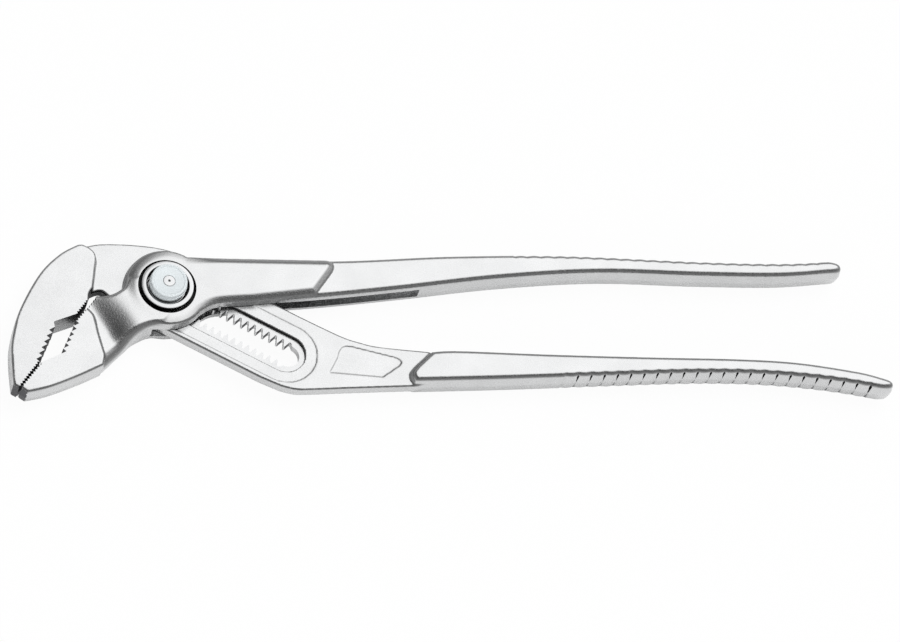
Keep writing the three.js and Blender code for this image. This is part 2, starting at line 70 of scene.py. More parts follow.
# Handles
HANDLE_ROOT = 80
FORK_REACH = 239.2
SLOTTED_REACH = 256.8
GRIP_PITCH = 4.75
GRIP_SWELL = 0.3
NOTCH_DEPTH, NOTCH_WIDTH = 0.8, 0.8
NOTCH_LOW, NOTCH_DEEP, NOTCH_HIGH = 0.2, 4.0, 4.9
NOTCH_RUNOUT = 0.1
GRIP_COUNT = 23
GRIP_END = 4.0
GRIP_BAND = 2.0

# Hollow neck
SADDLE_START = (-22.2, -16.2)
SADDLE_ANGLE = math.radians(33.4)
SADDLE_RUN = 13
SADDLE_HASTE = 0.9
NECK_STEP = 0.3
NECK_HOLLOW, HOLLOW_REACH = 0.45, 6.0
NECK_ROUND = 3.2
NECK_ROUND_FROM, NECK_ROUND_TO = -20, -9

# Box joint
BOX_HALF = 2.55
WALL_CLEARANCE = 0.3
BOSS_RADIUS = 14.6
BOSS_FROM = math.radians(62)
BOSS_TO = math.radians(325)
BOSS_CROWN = 0.45
CROWN_FROM, CROWN_TO = -12, 2
BOSS_LEAN = 1.0
LEAN_FROM, LEAN_TO = -6, 4
BOX_END = (88.6, 13.4)
BOX_ROOF = (60, 10.5)
BOX_REACH = 40
OPENING_ANGLE = math.radians(25)

# Setting slot and rack
SLOT_ANGLE = math.radians(-24.5)
SLOT_HALF = 6.95
SLOT_REACH = 46.2
LEDGE_Z = 0.9
SLOT_BREAK = 0.2
RACK_PITCH = 2.7
RACK_HALF = 2.9
RACK_DEPTH = 2.3
RACK_FLAT, RACK_TIP = 0.5, 0.5
RACK_FIRST, RACK_LAST = -2, 17
KEY_REACH = 2
RACK_END, RACK_END_HALF = 47.3, 4.0
RACK_CLEARANCE = 0.3
LEG_UPPER = 15.3
LEG_LOWER = 12.8
LAND_WIDTH = 4.1
LAND_DEPTH = 0.15
PANEL_DEPTH = 0.2
STEP_RUN = 0.15

# Jaws
JAW_TIP = (-49.3, -42.3)
JAW_ROOT = (-25.8, -6.8)
INNER_JAW_END, OUTER_JAW_END = (-46.6, -44.1), (-51.4, -41.3)
INNER_STOCK_REACH, OUTER_STOCK_REACH = 39.5, 40
OUTER_POCKET = (12.2, 27.4, 5.2, 35.2)
INNER_POCKET = (12.3, 19.0, 3.7, 32.6)
COARSE_END = (26.1, 3.7)
POCKET_ROUND = 0.7
JAW_LEVEL = 34
INNER_OVERRUN = 1.5
TIP_THINNING = 1.1
THINNING_LIMIT = 1.1
TIP_GAP = 0.25
ROOT_GAP = 1.35
FINE_PITCH, FINE_DEPTH = 1.1, 0.65
COARSE_PITCH, COARSE_DEPTH = 2.45, 1.4
OUTER_LEAN, INNER_LEAN = 0.2, 0.8
JAW_FALL, FALL_REACH = 0.04, 12
GRIP_STOCK = 2.5
GRIP_OVERRUN = 3.0
GRIP_ROOM = 9.0
BARE_WIDTH = 7.0
BARE_OVERRUN = 7.0

# Turned pieces: radii and heights
BUSH_BORE = 7.45
BUSH_SPIGOT = 8.4
COLLAR_RADIUS = 8.95
COLLAR_TOP = 8.2
COLLAR_FALL = 0.15
GROOVE_RADIUS = 10.1
GROOVE_FLOOR = 4.6
SPIGOT_FLOOR = 3.6
SPIGOT_FOOT = 3.9
COLLAR_FOOT = 5.9
HEAD_RADIUS = 6.6
HEAD_LOW, HEAD_TOP = 3.4, 6.1
FLANGE_RADIUS, FLANGE_LOW = 6.5, 8.4
BUTTON_STEM = 5.8
BUTTON_RADIUS = 6.3
BUTTON_LOW, BUTTON_STEP, BUTTON_TOP = 6.4, 9.5, 11.5
BUTTON_DISH, DISH_DROP = 0.6, 0.3
BUTTON_RIM = 0.8
BUTTON_CORNER = 0.55
STUB_RADIUS = 2.1
STUB_TOP = 11.0
PIP_RADIUS = 0.5
PIP_DEPTH = 0.8
BOLT_NECK = 2.4
KEY_TOP = -0.5
JOURNAL_RADIUS = 6.5
JOURNAL_TOP, JOURNAL_LOW = -2.7, -4.1
SPRING_BORE = 1.8
SPRING_TOP = -1.6
SPRING_WIRE = 0.5
SPRING_TURNS = 3.5
COVER_TOP, COVER_RIM = -6.6, -7.3
REAR_BORE = 6.8
REAR_FACE = -8.8
RING_GROOVE = 7.6
RING_LOW, RING_HIGH = -7.95, -7.45
RING_WIDTH = 1.9
RING_SPLIT = 3.0
RING_SIDE_GAP = 0.15
RUNNING_GAP = 0.3
PRESS_GAP = 0.05
EDGE_BREAK, EDGE_SOFT, EDGE_FULL = 0.1, 0.15, 0.3
GUIDE_ROUND = 0.2
STUB_ROUND = 0.25

# Patches of painted shade: how far their faces turn, and the bright lips left above the gaps that are painted
# dark as shadow
UPRIGHT = 0.5
FLANK = 0.3
PAINT_MARGIN = 0.05
PLATEAU_LIP, BORE_LIP, COLLAR_LIP = 0.2, 0.3, 0.4

# How finely things are drawn
GRID_STEP = 0.4
BAND = 5.0
LINE_STEP = 0.5
FORK_BOUNDS = ((-53, -46, -7.4), (242, 37, 7.6))
SLOTTED_BOUNDS = ((-54.5, -45, -6.2), (259.5, 19, 6.4))
ROUND_STEPS = 128
BOSS_STEPS, SLOT_STEPS, RACK_END_STEPS = 90, 40, 24
CORNER_STEPS, TURNED_CORNER_STEPS = 10, 6
MERGE_DISTANCE, SHORTEST_EDGE = 1e-7, 1e-8
CUT = 1.0
SHARP_ANGLE = math.radians(48)

Grid = namedtuple("Grid", "x y z")


# Outlines

def smooth_line(points):
    """A curve through the points, in short steps."""
    points = np.array(points, float)
    line = []
    for i in range(len(points) - 1):
        p0, p1 = points[max(i - 1, 0)], points[i]
        p2, p3 = points[i + 1], points[min(i + 2, len(points) - 1)]
        steps = max(2, int(np.linalg.norm(p2 - p1) / LINE_STEP))
        for t in np.arange(steps) / steps:
            ease_in, ease_out = (p2 - p0) / 2, (p3 - p1) / 2
            line.append((2 * t**3 - 3 * t**2 + 1) * p1 + (t**3 - 2 * t**2 + t) * ease_in
                        + (3 * t**2 - 2 * t**3) * p2 + (t**3 - t**2) * ease_out)
    return line + [points[-1]]


def rounded_corner(start, corner, end, steps=CORNER_STEPS):
    a, b, c = (np.array(p, float) for p in (start, corner, end))
    return [(1 - t)**2 * a + 2 * t * (1 - t) * b + t**2 * c for t in np.linspace(0, 1, steps)]


def arc(radius, start, end, steps, middle=(0, 0)):
    return [(middle[0] + radius * math.cos(a), middle[1] + radius * math.sin(a))
            for a in np.linspace(start, end, steps)]


def slot_point(along, across):
    cos, sin = math.cos(SLOT_ANGLE), math.sin(SLOT_ANGLE)
    return np.array((along * cos - across * sin, along * sin + across * cos))


JAW_LENGTH = math.dist(JAW_TIP, JAW_ROOT)
JAW_ALONG = (np.array(JAW_ROOT) - JAW_TIP) / JAW_LENGTH
JAW_OFF = np.array((-JAW_ALONG[1], JAW_ALONG[0]))


def jaw_point(along, off):
    return np.array(JAW_TIP) + along * JAW_ALONG + off * JAW_OFF


def jaw_edge(side, pocket, root):
    """A jaw's gripping edge from tip to root; side is 1 for the outer jaw and -1 for the inner jaw."""
    def flat(along):
        gap = TIP_GAP + (ROOT_GAP - TIP_GAP) * along / JAW_LENGTH
        return jaw_point(along, side * gap / 2)
    start, deepest, depth, end = pocket
    return [flat(0), flat(start), jaw_point(deepest, side * depth), flat(end), flat(root)]


def towards(start, end, distance):
    return start + (end - start) * distance / np.linalg.norm(end - start)


def on_handle(reach, share, y):
    return (HANDLE_ROOT + (reach - HANDLE_ROOT) * share, y)


def rack_teeth(first, last, tip, side):
    tooth = [((RACK_TIP - RACK_PITCH) / 2, 0), (-RACK_FLAT / 2, RACK_DEPTH),
             (RACK_FLAT / 2, RACK_DEPTH), ((RACK_PITCH - RACK_TIP) / 2, 0)]
    return [slot_point(k * RACK_PITCH + along, side * (tip + out))
            for k in range(first, last + 1) for along, out in tooth]


def rack_outline(first, last, tip):
    return rack_teeth(first, last, tip, 1) + rack_teeth(first, last, tip, -1)[::-1]


def rack_slot():
    """The toothed way through the leg, with a round end past the last valleys."""
    upper = rack_teeth(RACK_FIRST, RACK_LAST, RACK_HALF, 1)[:-1]
    lower = rack_teeth(RACK_FIRST, RACK_LAST, RACK_HALF, -1)[:-1]
    quarter = math.pi / 2
    end = arc(RACK_END_HALF, SLOT_ANGLE + quarter, SLOT_ANGLE - quarter, RACK_END_STEPS,
              slot_point(RACK_END, 0))
    return upper + end + lower[::-1]


def slot_outline(half=SLOT_HALF):
    quarter = math.pi / 2
    near = arc(half, SLOT_ANGLE + quarter, SLOT_ANGLE + 3 * quarter, SLOT_STEPS)
    far = arc(half, SLOT_ANGLE - quarter, SLOT_ANGLE + quarter, SLOT_STEPS, slot_point(SLOT_REACH, 0))
    return near + far


def meet(distance, angle_a, angle_b):
    """Where two lines meet that lie at one distance from the joint's axis, in two directions."""
    middle = (angle_a + angle_b) / 2
    reach = distance / math.cos((angle_b - angle_a) / 2)
    return np.array((reach * math.cos(middle), reach * math.sin(middle)))


def box_outline():
    """The room between the cheeks that the leg sweeps from closed to open."""
    closed = SLOT_ANGLE - math.pi / 2
    opened = closed - OPENING_ANGLE
    lower, upper = LEG_LOWER + WALL_CLEARANCE, LEG_UPPER + WALL_CLEARANCE
    down = np.array((math.sin(opened), -math.cos(opened)))
    wall = meet(lower, closed, opened)
    roof = meet(upper, closed + math.pi, opened + math.pi)
    return [slot_point(-BOX_REACH, BOX_REACH), slot_point(-BOX_REACH, -lower), wall,
            wall - BOX_REACH * down, (BOX_END[0], -BOX_REACH), BOX_END, BOX_ROOF, roof,
            (roof[0], BOX_REACH)]


# Distances on a grid of sample points

def grid_around(low, high):
    return Grid(*(np.arange(a, b, GRID_STEP) for a, b in zip(low, high)))


def reach_of_line(grid, line, closed=False):
    """Distance from a line over the plan, cut off at the band, and how far along the nearest place is."""
    gap = np.full((len(grid.x), len(grid.y)), BAND)
    along = np.zeros_like(gap)
    ends = np.roll(line, -1, axis=0) if closed else line[1:]
    travelled = 0.0
    for a, b in zip(line, ends):
        step = b - a
        length = math.hypot(*step)
        if length == 0:
            continue
        i = slice(*np.searchsorted(grid.x, (min(a[0], b[0]) - BAND, max(a[0], b[0]) + BAND)))
        j = slice(*np.searchsorted(grid.y, (min(a[1], b[1]) - BAND, max(a[1], b[1]) + BAND)))
        dx, dy = grid.x[i, None] - a[0], grid.y[None, j] - a[1]
        share = np.clip((dx * step[0] + dy * step[1]) / length**2, 0, 1)
        here = np.hypot(dx - share * step[0], dy - share * step[1])
        nearer = here < gap[i, j]
        gap[i, j] = np.where(nearer, here, gap[i, j])
        along[i, j] = np.where(nearer, travelled + share * length, along[i, j])
        travelled += length
    return gap, along


def within(grid, outline):
    """Which plan points lie inside a closed outline."""
    inside = np.zeros((len(grid.x), len(grid.y)), bool)
    for a, b in zip(outline, np.roll(outline, -1, axis=0)):
        j = slice(*np.searchsorted(grid.y, (min(a[1], b[1]), max(a[1], b[1]))))
        if a[1] != b[1]:
            cross = a[0] + (grid.y[j] - a[1]) * (b[0] - a[0]) / (b[1] - a[1])
            inside[:, j] ^= grid.x[:, None] < cross
    return inside


def outline_distance(grid, outline):
    outline = np.array([np.asarray(p, float) for p in outline])
    gap, _ = reach_of_line(grid, outline, closed=True)
    return np.where(within(grid, outline), -gap, gap)


def rounded_max(a, b, radius):
    """Where two bodies overlap, with the edge between them rounded."""
    a, b = a + radius, b + radius
    return np.hypot(np.maximum(a, 0), np.maximum(b, 0)) + np.minimum(np.maximum(a, b), 0) - radius


def blend_min(a, b, width):
    """Two bodies joined, with the corner between them filled."""
    share = np.clip(0.5 + (b - a) / (2 * width), 0, 1)
    return b + (a - b) * share - width * share * (1 - share)


def ease(low, high, value):
    t = np.clip((value - low) / (high - low), 0, 1)
    return t * t * (3 - 2 * t)


def forging(grid, plan, half, draft, edge):
    """A drop forging from its plan distance and half thickness, drafted and rounded to both faces."""
    height = np.abs(grid.z)
    half = np.broadcast_to(half, plan.shape)[..., None]
    wall = plan[..., None] + draft * height / half
    return rounded_max(wall, height - half, edge).astype(np.float32)


def boss_half(grid):
    """Half thickness over the plateau, where the boss's face falls away on the side of the jaws."""
    reach = np.hypot(grid.x[:, None], grid.y[None])
    jaw_side = (1 - ease(CROWN_FROM, CROWN_TO, grid.x))[:, None]
    away = jaw_side * ease(CROWN_FROM, CROWN_TO, grid.y)[None]
    return PLATEAU_HALF - BOSS_CROWN * away * ease(GROOVE_RADIUS, BOSS_RADIUS, reach)


def plateau_forging(grid, plan):
    """The raised face round the joint; at the boss its bevel is flatter and its wall leans more."""
    height = np.abs(grid.z)
    lean = (BOSS_LEAN * (1 - ease(LEAN_FROM, LEAN_TO, grid.x)))[:, None, None]
    past_boss = ease(BEVEL_FROM, BEVEL_TO, grid.x)[:, None, None]
    width = BOSS_BEVEL_WIDTH + (BEVEL_WIDTH - BOSS_BEVEL_WIDTH) * past_boss
    depth = BOSS_BEVEL_DEPTH + (BEVEL_DEPTH - BOSS_BEVEL_DEPTH) * past_boss
    bevel_foot = 1 - depth / PLATEAU_HALF
    wall = plan[..., None] + DRAFT * height / PLATEAU_HALF + lean * (height / PLATEAU_HALF - bevel_foot)
    face = height - boss_half(grid)[..., None]
    slope = (wall * depth + face * width + width * depth) / np.hypot(width, depth)
    return rounded_max(rounded_max(wall, slope, BEVEL_ROUND), face, FACE_ROUND).astype(np.float32)


def grip_start(edge):
    length = sum(math.dist(a, b) for a, b in zip(edge, edge[1:]))
    return length - GRIP_COUNT * GRIP_PITCH - GRIP_END


def grip(grid, edge):
    """How much deeper the wall lies between the swellings of the grip."""
    gap, along = reach_of_line(grid, np.array(edge))
    turn = (along - grip_start(edge)) / GRIP_PITCH
    held = (turn > 0) & (turn < GRIP_COUNT) & (gap < GRIP_BAND)
    return np.where(held, GRIP_SWELL * (1 - np.abs(np.sin(math.pi * turn))), 0)


def handle_forging(grid, outline, edge, reach):
    """A handle, with more rounding at its end."""
    height = np.abs(grid.z)
    plan = outline_distance(grid, outline) + grip(grid, edge)
    wall = plan[..., None] + DRAFT * height / HANDLE_HALF
    rounding = EDGE_ROUND + (END_ROUND - EDGE_ROUND) * ease(reach - END_RUN, reach, grid.x)
    return rounded_max(wall, height - HANDLE_HALF, rounding[:, None, None]).astype(np.float32)


def jaw_half(grid, fall):
    """A jaw's half thickness, which falls towards its tip, and by the given slope off its gripping edge."""
    x, y = grid.x[:, None] - JAW_TIP[0], grid.y[None] - JAW_TIP[1]
    along = x * JAW_ALONG[0] + y * JAW_ALONG[1]
    off = x * JAW_OFF[0] + y * JAW_OFF[1]
    thinning = TIP_THINNING * np.clip(1 - along / JAW_LEVEL, 0, THINNING_LIMIT) ** 2
    return JAW_HALF - thinning - fall * np.clip(-off, 0, FALL_REACH)


def neck_half(grid):
    """The neck's half thickness: just below the jaw, then hollow, and rising quickly to the boss."""
    across = ((grid.x[:, None] - SADDLE_START[0]) * math.cos(SADDLE_ANGLE)
              + (grid.y[None] - SADDLE_START[1]) * math.sin(SADDLE_ANGLE))
    share = np.clip(across / SADDLE_RUN, 0, 1) ** SADDLE_HASTE
    level = jaw_half(grid, JAW_FALL) - NECK_STEP - NECK_HOLLOW * np.exp(-(across / HOLLOW_REACH) ** 2)
    return level + (boss_half(grid) - level) * ease(0, 1, share)


def skin(grid, field):
    """Points and quads of the surface where the field passes through zero."""
    inside = field < 0
    corners = [np.array(c) for c in np.ndindex(2, 2, 2)]
    size = np.array(field.shape) - 1
    held = sum(inside[tuple(slice(c, c + s) for c, s in zip(corner, size))].astype(np.uint8)
               for corner in corners)
    cells = np.argwhere((held > 0) & (held < 8))
    number = np.full(size, -1, np.int32)
    number[tuple(cells.T)] = np.arange(len(cells))
    value = {tuple(c): field[tuple((cells + c).T)].astype(float) for c in corners}
    total = np.zeros((len(cells), 3))
    hits = np.zeros(len(cells))
    for axis in range(3):
        unit = np.eye(3, dtype=int)[axis]
        for corner in (c for c in corners if c[axis] == 0):
            a, b = value[tuple(corner)], value[tuple(corner + unit)]
            crossed = (a < 0) != (b < 0)
            share = np.where(crossed, a / np.where(crossed, a - b, 1), 0)
            total += crossed[:, None] * (corner + share[:, None] * unit)
            hits += crossed
    places = cells + total / hits[:, None]
    low = np.array([grid.x[0], grid.y[0], grid.z[0]])
    quads = [quads_across(inside, number, axis) for axis in range(3)]
    return low + places * GRID_STEP, np.concatenate(quads)


def quads_across(inside, number, axis):
    """The quads that cross the grid's edges along one axis."""
    low = np.moveaxis(inside, axis, 0)[:-1, 1:-1, 1:-1]
    high = np.moveaxis(inside, axis, 0)[1:, 1:-1, 1:-1]
    cells = np.moveaxis(number, axis, 0)
    a, b, c = np.nonzero(low != high)
    ring = [cells[a, b + i, c + j] for i, j in ((0, 0), (1, 0), (1, 1), (0, 1))]
    quads = np.stack(ring, axis=1)
    turned = low[a, b, c] if axis != 1 else ~low[a, b, c]
    return np.where(turned[:, None], quads, quads[:, ::-1])


# Meshes

def mesh_object(name, points, faces):
    mesh = bpy.data.meshes.new(name)
    points = np.asarray(points, float) + (0, 0, MID_PLANE)
    mesh.from_pydata((points * MM).tolist(), [], [list(face) for face in faces])
    mesh.update()
    piece = bpy.data.objects.new(name, mesh)
    bpy.context.scene.collection.objects.link(piece)
    return piece


def prism(outline, low, high, top=None):
    """A cutter or block from an outline, straight or tapering to another outline at its top."""
    n = len(outline)
    points = [(x, y, low) for x, y in outline] + [(x, y, high) for x, y in top or outline]
    sides = [(i, (i + 1) % n, n + (i + 1) % n, n + i) for i in range(n)]
    caps = [tuple(range(n))[::-1], tuple(range(n, 2 * n))]
    return face_outward(mesh_object("block", points, sides + caps))


def soften(profile):
    """A profile of (radius, height, rounding) corners with each corner turned into an arc."""
    points = []
    n = len(profile)
    for i, (r, z, rounding) in enumerate(profile):
        here = np.array((r, z))
        before = np.array(profile[i - 1][:2]) - here
        after = np.array(profile[(i + 1) % n][:2]) - here
        if rounding == 0:
            points.append(here)
            continue
        before, after = before / np.linalg.norm(before), after / np.linalg.norm(after)
        half_angle = math.acos(np.clip(before @ after, -1, 1)) / 2
        reach = rounding / math.tan(half_angle)
        middle = before + after
        middle = here + middle / np.linalg.norm(middle) * rounding / math.sin(half_angle)
        start, end = here + before * reach - middle, here + after * reach - middle
        sweep = math.atan2(start[0] * end[1] - start[1] * end[0], start @ end)
        for t in np.linspace(0, sweep, TURNED_CORNER_STEPS):
            cos, sin = math.cos(t), math.sin(t)
            points.append(middle + (cos * start[0] - sin * start[1], sin * start[0] + cos * start[1]))
    return points


def face_outward(piece):
    """Merges doubled points and turns every face outward."""
    shape = bmesh.new()
    shape.from_mesh(piece.data)
    bmesh.ops.remove_doubles(shape, verts=shape.verts, dist=MERGE_DISTANCE)
    bmesh.ops.dissolve_degenerate(shape, edges=shape.edges, dist=SHORTEST_EDGE)
    bmesh.ops.recalc_face_normals(shape, faces=shape.faces)
    shape.to_mesh(piece.data)
    shape.free()
    return piece


def turned(name, profile, steps=ROUND_STEPS):
    """A body turned about the joint's axis from the closed profile, anticlockwise in radius and height."""
    profile = soften(profile)
    n = len(profile)
    angles = np.arange(steps) * 2 * math.pi / steps
    points = [(r * math.cos(a), r * math.sin(a), z) for a in angles for r, z in profile]
    faces = [(k * n + i, (k + 1) % steps * n + i, (k + 1) % steps * n + (i + 1) % n, k * n + (i + 1) % n)
             for k in range(steps) for i in range(n)]
    return face_outward(mesh_object(name, points, faces))


def disc(radius, low, high):
    return turned("disc", [(0, low, 0), (radius, low, 0), (radius, high, 0), (0, high, 0)])


def combine(piece, other, operation):
    """Joins to, cuts from or keeps only what it shares with another body, which is used up."""
    step = piece.modifiers.new(operation, "BOOLEAN")
    step.operation = operation
    step.solver = "MANIFOLD"
    step.object = other
    view = bpy.context.evaluated_depsgraph_get()
    result = bpy.data.meshes.new_from_object(piece.evaluated_get(view))
    piece.modifiers.clear()
    piece.data = result
    bpy.data.objects.remove(other)
    return piece


def cut(piece, *cutters):
    for cutter in cutters:
        combine(piece, cutter, "DIFFERENCE")
    return piece


def tooth_row(start, end, pitch, depth, side, lean=0.5):
    """Points along a row of teeth; the valleys reach into the jaw, which is on the given side."""
    along = end - start
    count = max(1, round(np.linalg.norm(along) / pitch))
    into = side * np.array((-along[1], along[0])) / np.linalg.norm(along)
    points = []
    for i in range(count):
        points.append(start + along * i / count)
        points.append(start + along * (i + lean) / count + into * depth)
    return points


def grip_cut(side, pocket):
    """The straight cut that leaves a jaw's toothed gripping edge."""
    reach = JAW_LENGTH if side > 0 else JAW_LENGTH + INNER_OVERRUN
    tip, pocket_start, deep, pocket_end, root = jaw_edge(side, pocket, reach)
    fine, coarse = (FINE_PITCH, FINE_DEPTH, side), (COARSE_PITCH, COARSE_DEPTH, side)
    if side > 0:
        plain = jaw_point(*COARSE_END)
        corner = [towards(deep, plain, POCKET_ROUND), deep, towards(deep, pocket_end, POCKET_ROUND)]
        middle = [*tooth_row(pocket_start, plain, *coarse, OUTER_LEAN), plain, *rounded_corner(*corner)]
    else:
        middle = [pocket_start, *tooth_row(deep, pocket_end, *coarse, INNER_LEAN)]
    beyond = JAW_LENGTH + GRIP_OVERRUN
    outline = [jaw_point(-GRIP_OVERRUN, side * TIP_GAP / 2), *tooth_row(tip, pocket_start, *fine), *middle,
               *tooth_row(pocket_end, root, *fine), root, jaw_point(beyond, side * ROOT_GAP / 2),
               jaw_point(beyond, -side * GRIP_ROOM), jaw_point(-GRIP_OVERRUN, -side * GRIP_ROOM)]
    return prism(outline, -JAW_HALF - CUT, JAW_HALF + CUT)


def stock_edge(side, end_corner, reach):
    """The jaw's gripping side before it is cut: past the line where the jaws meet."""
    tip = jaw_point(0, side * TIP_GAP / 2)
    end = tip - np.asarray(end_corner)
    return [tip + end / np.linalg.norm(end) * GRIP_STOCK, jaw_point(reach, -side * GRIP_STOCK)]


def grip_notches(edge):
    """Spindles that cut the grip's notches, deepest just below each face's rounded edge."""
    edge = np.array(edge)
    lengths = np.concatenate([[0], np.cumsum(np.linalg.norm(np.diff(edge, axis=0), axis=1))])
    stations = [(NOTCH_LOW, 0), (NOTCH_DEEP, NOTCH_DEPTH), (NOTCH_HIGH, -NOTCH_RUNOUT)]
    points, faces = [], []
    for k in range(1, GRIP_COUNT + 1):
        along = grip_start(edge) + k * GRIP_PITCH
        near, far = (np.array([np.interp(along + step, lengths, edge[:, i]) for i in (0, 1)])
                     for step in (-CUT, CUT))
        middle, way = (near + far) / 2, towards(near, far, 1) - near
        into = np.array((way[1], -way[0])) * (1 if edge[0][1] > 0 else -1)
        for face in (-1, 1):
            faces += spindle_faces(len(points), len(stations))
            for height, net in stations:
                depth = net + GRIP_SWELL + DRAFT * height / HANDLE_HALF
                half = NOTCH_WIDTH / 2 * (depth + CUT) / NOTCH_DEPTH
                for across, inward in ((-half, -CUT), (half, -CUT), (0, depth)):
                    points.append((*(middle + way * across + into * inward), face * height))
    return face_outward(mesh_object("notches", points, faces))


def spindle_faces(first, stations):
    """Faces of a three-sided bar whose points are listed station by station."""
    last = first + 3 * (stations - 1)
    faces = [(first, first + 1, first + 2), (last, last + 1, last + 2)]
    for step in range(first, last, 3):
        faces += [(step + i, step + j, step + 3 + j, step + 3 + i) for i, j in ((0, 1), (1, 2), (2, 0))]
    return faces


# The two arms

def fork_jaw():
    return [*stock_edge(-1, INNER_JAW_END, INNER_STOCK_REACH),
            *smooth_line([(-26, -10.4), (-24.4, -12.2), (-23.2, -15.6), (-22.4, -19), (-19.9, -27)]),
            *smooth_line([(-20.4, -31.2), (-28.7, -36.2), (-38.8, -41.4), INNER_JAW_END])]


def fork_neck():
    return [(-27.6, -3.9), (-22.4, -4.6), *smooth_line([(-20, -4.1), (-17.9, -3.2), (-15.6, -1.4)]),
            (-14, 3), (-4, 5), (4, -8),
            *smooth_line([(0, -14.3), (-5.4, -15.7), (-10.4, -19.4), (-13.8, -23.6), (-20.4, -31.2)]),
            (-27, -30), (-31, -15)]


def fork_plateau():
    return [*arc(BOSS_RADIUS, BOSS_FROM, BOSS_TO, BOSS_STEPS),
            *smooth_line([(14.6, -6.2), (18.5, -4.4), (30, -2.4)]), (52.2, 2.4),
            *rounded_corner((57.4, 10.8), (60.2, 15.6), (55.6, 16.8)), (32.2, 14.9)]


def upper(share, y):
    return on_handle(FORK_REACH, share, y)


def fork_grip_edge():
    return smooth_line([(8, 13), (57, 17.1), upper(0.118, 23.2), upper(0.375, 27.6), upper(0.674, 30.2),
                        upper(0.853, 32.4), upper(0.969, 35)])


def fork_handle():
    return [*fork_grip_edge(), *rounded_corner(upper(0.98, 34.9), upper(1, 34.6), upper(1, 32.4)),
            *rounded_corner(upper(1, 32.2), upper(1, 30.6), upper(0.985, 30)),
            *smooth_line([upper(0.969, 29.6), upper(0.853, 26.4), upper(0.674, 23.9), upper(0.45, 21.4),
                          upper(0.228, 15.6), upper(0.008, 7.8), (51.6, 1.6), (14, -5)])]


def fork_arm():
    """The arm with the inner jaw, the box joint and the upper handle."""
    grid = grid_around(*FORK_BOUNDS)
    body = handle_forging(grid, fork_handle(), fork_grip_edge(), FORK_REACH)
    body = np.minimum(body, plateau_forging(grid, outline_distance(grid, fork_plateau())))
    rounding = NECK_ROUND + (EDGE_ROUND - NECK_ROUND) * ease(NECK_ROUND_FROM, NECK_ROUND_TO, grid.y)
    neck = forging(grid, outline_distance(grid, fork_neck()), neck_half(grid), DRAFT, rounding[None, :, None])
    jaw = forging(grid, outline_distance(grid, fork_jaw()), jaw_half(grid, JAW_FALL), DRAFT, JAW_EDGE)
    body = blend_min(blend_min(body, neck, NECK_BLEND), jaw, INNER_JAW_BLEND)
    arm = mesh_object("fork_arm_forging", *skin(grid, body))
    combine(arm, disc(COLLAR_RADIUS, REAR_FACE, 0), "UNION")
    return cut(arm, grip_cut(-1, INNER_POCKET), grip_notches(fork_grip_edge()),
               prism(box_outline(), -BOX_HALF, BOX_HALF), disc(BUSH_BORE, 0, COLLAR_TOP),
               disc(BUSH_SPIGOT + RUNNING_GAP, SPIGOT_FLOOR, COLLAR_TOP),
               disc(GROOVE_RADIUS, GROOVE_FLOOR, COLLAR_TOP), disc(REAR_BORE, REAR_FACE - CUT, 0),
               disc(RING_GROOVE, RING_LOW - RING_SIDE_GAP, RING_HIGH + RING_SIDE_GAP))


def leg_half(grid, land, panel):
    """The leg's half thickness, with a shallow sunk band round the slot and a sunk panel."""
    band = LAND_DEPTH * (1 - ease(LAND_WIDTH - STEP_RUN, LAND_WIDTH + STEP_RUN, land))
    return LEG_HALF - band - PANEL_DEPTH * (1 - ease(-STEP_RUN, STEP_RUN, panel))


def slotted_jaw():
    return [*stock_edge(1, OUTER_JAW_END, OUTER_STOCK_REACH), (-26.6, -7.2),
            *rounded_corner((-26.6, -5.2), (-26.4, -3.6), (-25.3, -2.4)), (-24.4, 8.9),
            *rounded_corner((-24.6, 10.5), (-25.4, 13), (-29.5, 14.2)),
            *smooth_line([(-31, 13.9), (-37.2, 9.5), (-43.9, 1.2), (-50.1, -12.6), (-52.4, -23.1),
                          (-52.5, -31), OUTER_JAW_END])]


def slotted_leg():
    return [*smooth_line([(-31, 13.5), (-22.9, 16.3), (-9, 17.2), (1.5, 16.2), slot_point(3, LEG_UPPER)]),
            *smooth_line([slot_point(44, LEG_UPPER), (61, -10.5), (68, -12.4), (75, -13.4), (92, -13.6)]),
            (100, -16), (100, -23),
            *smooth_line([(88, -27.3), (64.6, -30.4), (50.8, -32.3), (45.6, -32.7), (40.6, -31.9)]),
            slot_point(42.5, -LEG_LOWER), slot_point(-14.5, -LEG_LOWER),
            *smooth_line([(-19.8, -3.4), (-22.4, -1.7), (-25.6, -3)]), (-31, -4)]


def leg_panel():
    return [*rounded_corner((60.2, -19), (60.7, -13.6), (65, -14.4)),
            *rounded_corner((80, -17), (84, -18), (81.4, -20.4)), (76, -25), (57.5, -25)]


def lower(share, y):
    return on_handle(SLOTTED_REACH, share, y)


def slotted_grip_edge():
    return smooth_line([(87, -27), lower(0.205, -23.4), lower(0.403, -18.7), lower(0.603, -14.1),
                        lower(0.743, -12.2), lower(0.864, -12.2), lower(0.974, -13.6)])


def slotted_handle():
    return [*slotted_grip_edge(), *rounded_corner(lower(0.982, -13.5), lower(1, -13.2), lower(1, -11.4)),
            *rounded_corner(lower(1, -11.2), lower(1, -9.6), lower(0.984, -9)),
            *smooth_line([lower(0.976, -8.7), lower(0.925, -7.1), lower(0.804, -5.7), lower(0.683, -6.4),
                          lower(0.503, -8.8), lower(0.304, -11.2), lower(0.126, -13), (92.4, -14.4)]),
            *smooth_line([(87.2, -20.2), (85.4, -23), (85.6, -25.2)])]


